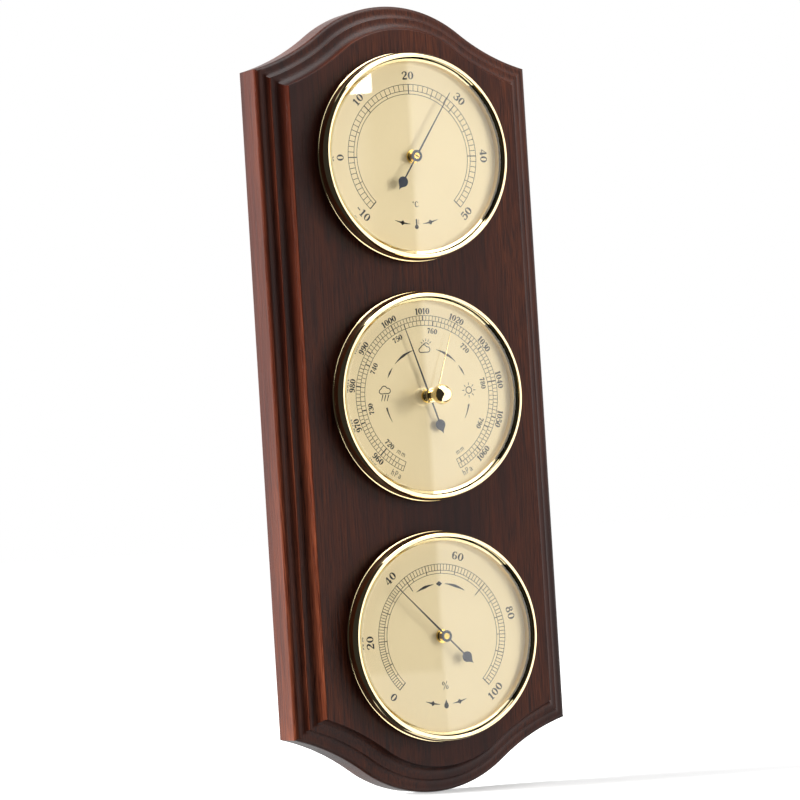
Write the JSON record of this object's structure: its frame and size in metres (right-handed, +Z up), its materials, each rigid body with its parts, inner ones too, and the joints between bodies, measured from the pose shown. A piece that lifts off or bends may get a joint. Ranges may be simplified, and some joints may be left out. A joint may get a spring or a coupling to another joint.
{
  "type": "wall weather station",
  "caption": "Moulded wooden wall board with a dial thermometer, an aneroid barometer with a set hand, and a hair hygrometer in polished bezels.",
  "frame": {"origin": "middle of the keyhole that hangs the board, on the board's back plane", "axes": "+Z up along the board, -Y out of the wall towards the viewer, +X to the viewer's right; the dials face -Y"},
  "size_m": [0.151, 0.0523, 0.3876],
  "materials": {
    "mahogany": "satin dark red brown varnish",
    "bezel_brass": "polished and lacquered",
    "plain_brass": "satin",
    "dial_gold": "champagne anodised, satin",
    "window_glass": "clear",
    "black_rubber": "matte",
    "pointer_blue": "dark slate blue, satin",
    "case_steel": "zinc plated, satin",
    "bright_steel": "bright",
    "spring_steel": "blued",
    "bimetal": "satin",
    "hair": "natural hair"
  },
  "bodies": {
    "frame": {"board": "mahogany", "hanger_plate": "case_steel", "hanger_screws": "bright_steel", "thermo_can": "case_steel", "baro_can": "case_steel", "hygro_can": "case_steel", "thermo_seat": "black_rubber", "baro_seat": "black_rubber", "hygro_seat": "black_rubber", "thermo_claws": "case_steel", "baro_claws": "case_steel", "hygro_claws": "case_steel", "thermo_claw_screws": "bright_steel", "baro_claw_screws": "bright_steel", "hygro_claw_screws": "bright_steel", "thermo_bezel": "bezel_brass", "baro_bezel": "bezel_brass", "hygro_bezel": "bezel_brass", "thermo_glass": "window_glass", "baro_glass": "window_glass", "hygro_glass": "window_glass", "thermo_sight_ring": "dial_gold", "baro_sight_ring": "dial_gold", "hygro_sight_ring": "dial_gold", "thermo_dial": "dial_gold", "baro_dial": "dial_gold", "hygro_dial": "dial_gold", "thermo_bush": "plain_brass", "baro_bush": "plain_brass", "hygro_bush": "plain_brass", "thermo_bridge": "plain_brass", "thermo_coil": "bimetal", "hygro_bridge": "plain_brass", "hygro_hair": "hair", "hygro_hairspring": "spring_steel", "hygro_bracket": "plain_brass", "baro_plate": "plain_brass", "baro_capsule": "bright_steel", "baro_spring": "spring_steel", "baro_chain": "bright_steel", "baro_cock": "plain_brass", "baro_hairspring": "spring_steel", "set_bush": "bezel_brass"},
    "thermo_hand": {"thermo_arbor": "plain_brass", "thermo_pointer": "pointer_blue"},
    "baro_hand": {"baro_arbor": "plain_brass", "baro_pointer": "pointer_blue"},
    "hygro_hand": {"hygro_arbor": "plain_brass", "hygro_drum": "plain_brass", "hygro_pointer": "pointer_blue"},
    "marker_hand": {"set_hand": "bezel_brass", "set_knob": "bezel_brass"},
    "zero_arm": {"thermo_zero_arm": "bright_steel"},
    "hair_screw": {"hygro_screw": "bright_steel"},
    "rocking_shaft": {"baro_rocker": "bright_steel"},
    "capsule_stud": {"baro_stud": "bright_steel"},
    "pressure_screw": {"baro_screw": "bright_steel"}
  },
  "joints": [
    {"name": "thermo_pointer_turn", "type": "hinge", "parent": "frame", "child": "thermo_hand", "pos_m": [0, -0.0366, -0.0586], "axis": [0, 1, 0], "range_deg": [-168.75, 101.25], "deforming": ["thermo_coil"]},
    {"name": "thermo_zero_turn", "type": "hinge", "parent": "frame", "child": "zero_arm", "pos_m": [0, -0.0104, -0.0586], "axis": [0, 1, 0], "range_deg": [-15, 15], "deforming": ["thermo_coil"]},
    {"name": "hygro_pointer_turn", "type": "hinge", "parent": "frame", "child": "hygro_hand", "pos_m": [0, -0.0366, -0.2934], "axis": [0, 1, 0], "range_deg": [-89, 181], "deforming": ["hygro_hair", "hygro_hairspring"]},
    {"name": "hygro_screw_turn", "type": "hinge", "parent": "frame", "child": "hair_screw", "pos_m": [-0.0004, -0.0116, -0.3204], "axis": [0, 1, 0], "range_deg": [-60, 60], "deforming": ["hygro_hair"]},
    {"name": "baro_rocker_turn", "type": "hinge", "parent": "frame", "child": "rocking_shaft", "pos_m": [0.0182, -0.013, -0.176], "axis": [0, 0, -1], "range_deg": [-11.6, 14.79], "deforming": ["baro_spring", "baro_capsule", "baro_chain"]},
    {"name": "baro_pointer_turn", "type": "hinge", "parent": "frame", "child": "baro_hand", "pos_m": [0, -0.0347, -0.176], "axis": [0, 1, 0], "range_deg": [-137.1, 174.9], "deforming": ["baro_hairspring", "baro_chain"]},
    {"name": "baro_stud_slide", "type": "slide", "parent": "frame", "child": "capsule_stud", "axis": [0, 1, 0], "range_m": [-0.0005, 0.0006], "deforming": ["baro_spring", "baro_capsule"]},
    {"name": "baro_screw_turn", "type": "hinge", "parent": "frame", "child": "pressure_screw", "pos_m": [-0.0255, -0.002, -0.176], "axis": [0, 1, 0], "range_deg": [-90, 90]},
    {"name": "set_hand_turn", "type": "hinge", "parent": "frame", "child": "marker_hand", "pos_m": [0, -0.0419, -0.176], "axis": [0, 1, 0], "continuous": true}
  ],
  "couplings": [
    {"joint": "baro_pointer_turn", "follows": "baro_rocker_turn", "ratio": 11.818},
    {"joint": "baro_stud_slide", "follows": "baro_rocker_turn", "m_per_rad": 0.0023}
  ]
}
